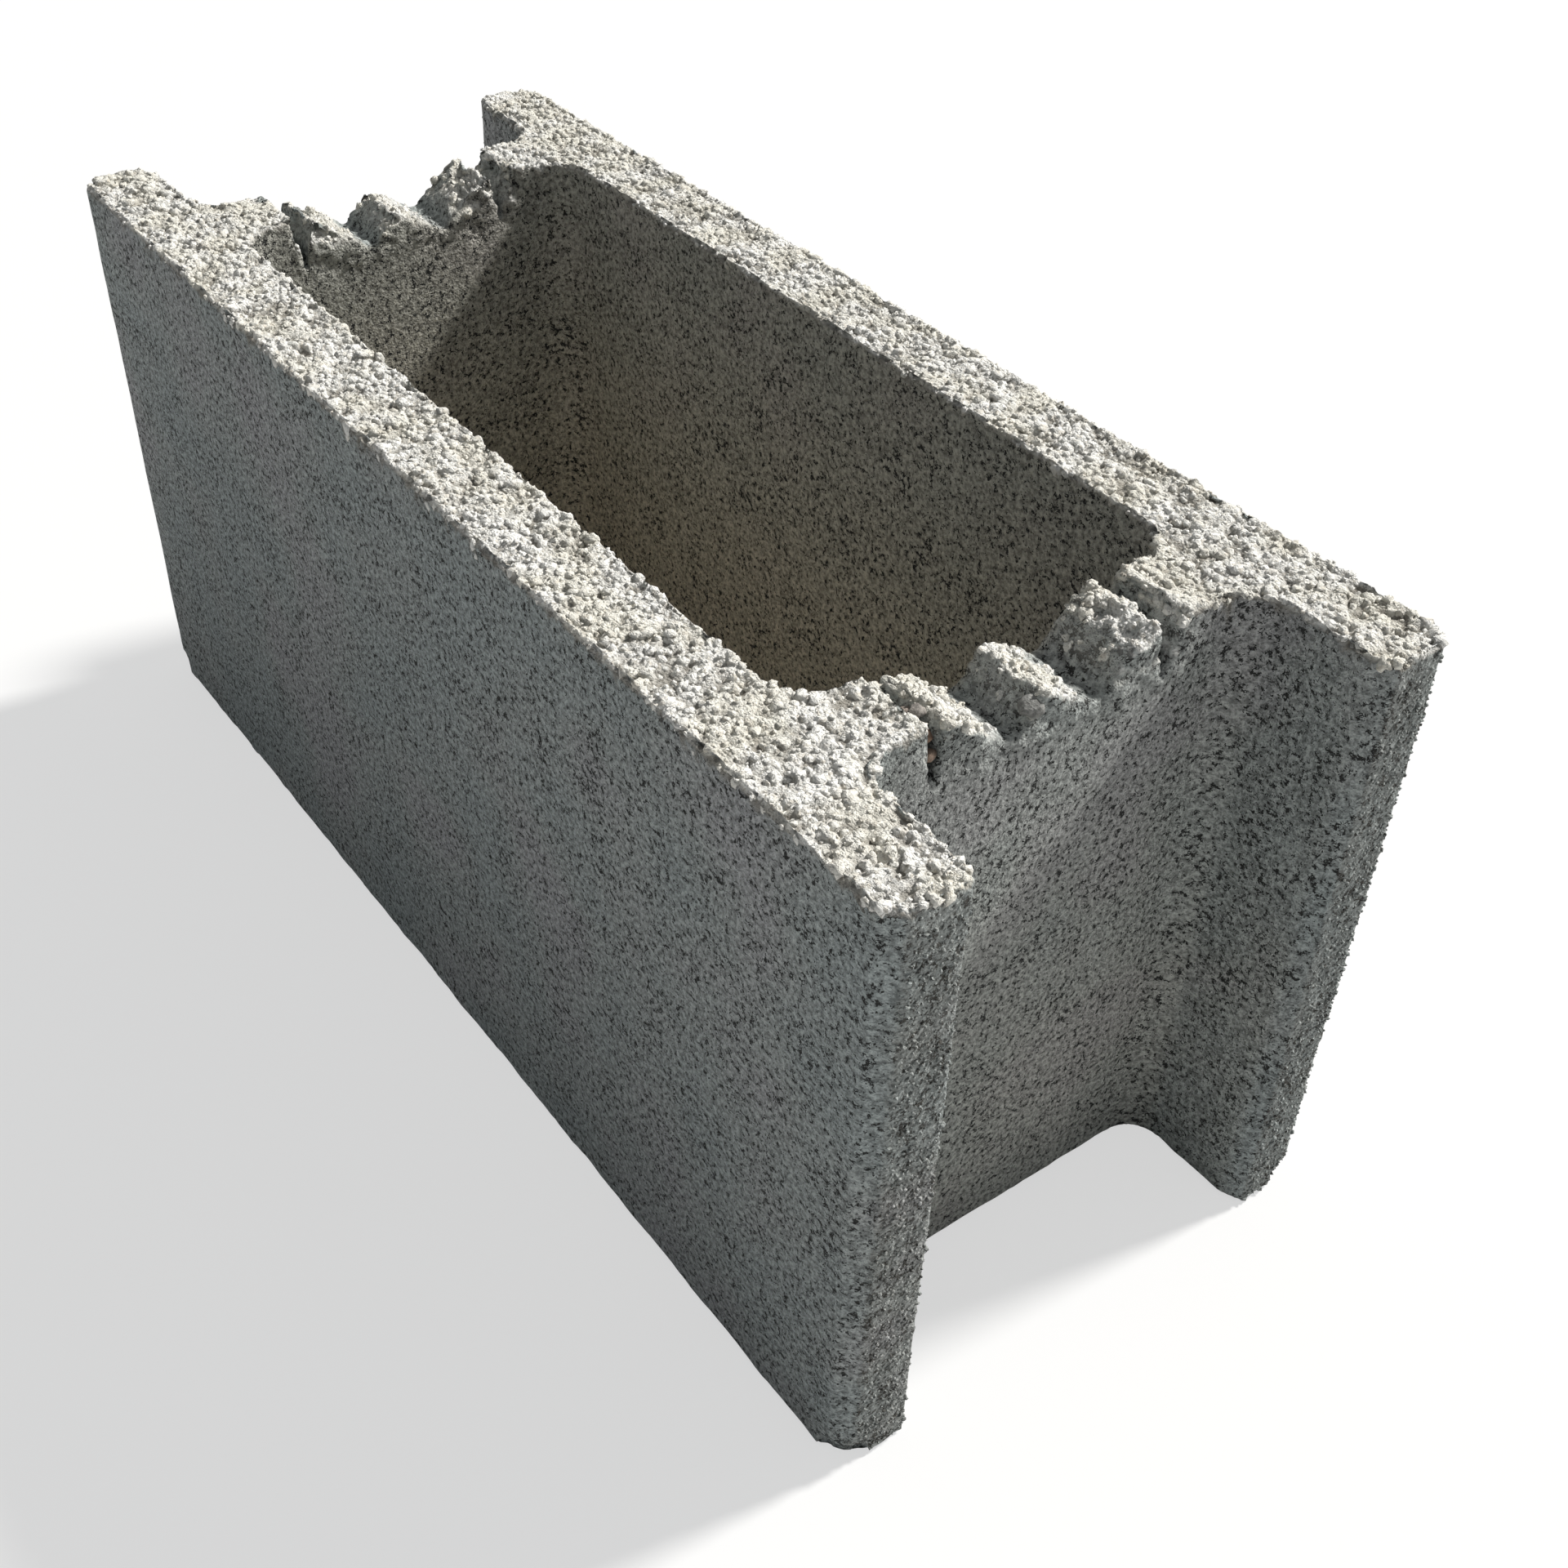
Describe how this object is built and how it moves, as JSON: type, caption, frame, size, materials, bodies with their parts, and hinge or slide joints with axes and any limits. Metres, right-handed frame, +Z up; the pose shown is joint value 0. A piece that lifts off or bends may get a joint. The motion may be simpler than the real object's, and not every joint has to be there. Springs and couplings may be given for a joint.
{
  "type": "formwork block",
  "caption": "Hollow concrete formwork block with side shells, cross webs set back from open ends, and toothed bar seats in the web tops, laid dry and filled with concrete.",
  "frame": {"origin": "centre of the block's footprint on the floor it stands on", "axes": "+X along the wall, towards the end nearest in the picture; +Y across the wall, towards the shell on the right in the picture; +Z up"},
  "size_m": [0.5, 0.2, 0.23],
  "materials": {
    "concrete": "rough pressed concrete, unpainted"
  },
  "bodies": {
    "root": {"formwork_block": "concrete"}
  },
  "joints": []
}
